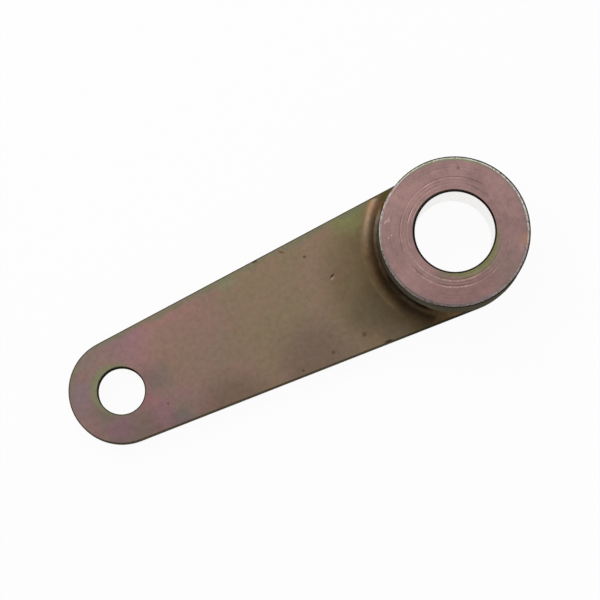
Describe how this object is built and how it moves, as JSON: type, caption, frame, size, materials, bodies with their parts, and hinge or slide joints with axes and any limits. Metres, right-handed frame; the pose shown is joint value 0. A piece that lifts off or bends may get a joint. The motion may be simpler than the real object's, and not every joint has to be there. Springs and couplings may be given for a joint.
{
  "type": "aircraft control arm",
  "caption": "Flat tapered steel lever with a turned hub welded to its large end and a plain bolt hole in its small end.",
  "frame": {"origin": "on the hub's bore axis, in the back face that the arm lies on", "axes": "+Z along the hub's bore towards its front face; +X along the arm from the hub to the link hole"},
  "size_m": [0.0664, 0.0202, 0.0127],
  "materials": {
    "plated_plate": "yellow-chromated cadmium plating on sheet steel, satin, mottled mauve to olive",
    "plated_hub": "yellow-chromated cadmium plating on turned steel, satin, mauve with faint turning rings",
    "plated_weld": "yellow-chromated cadmium plating over a smooth fillet weld, brown to olive",
    "plated_dressed_weld": "yellow-chromated cadmium plating over a weld dressed flush"
  },
  "bodies": {
    "root": {"arm_plate": "plated_plate", "hub_sleeve": "plated_hub", "front_fillet_weld": "plated_weld", "back_seal_weld": "plated_dressed_weld"}
  },
  "joints": []
}
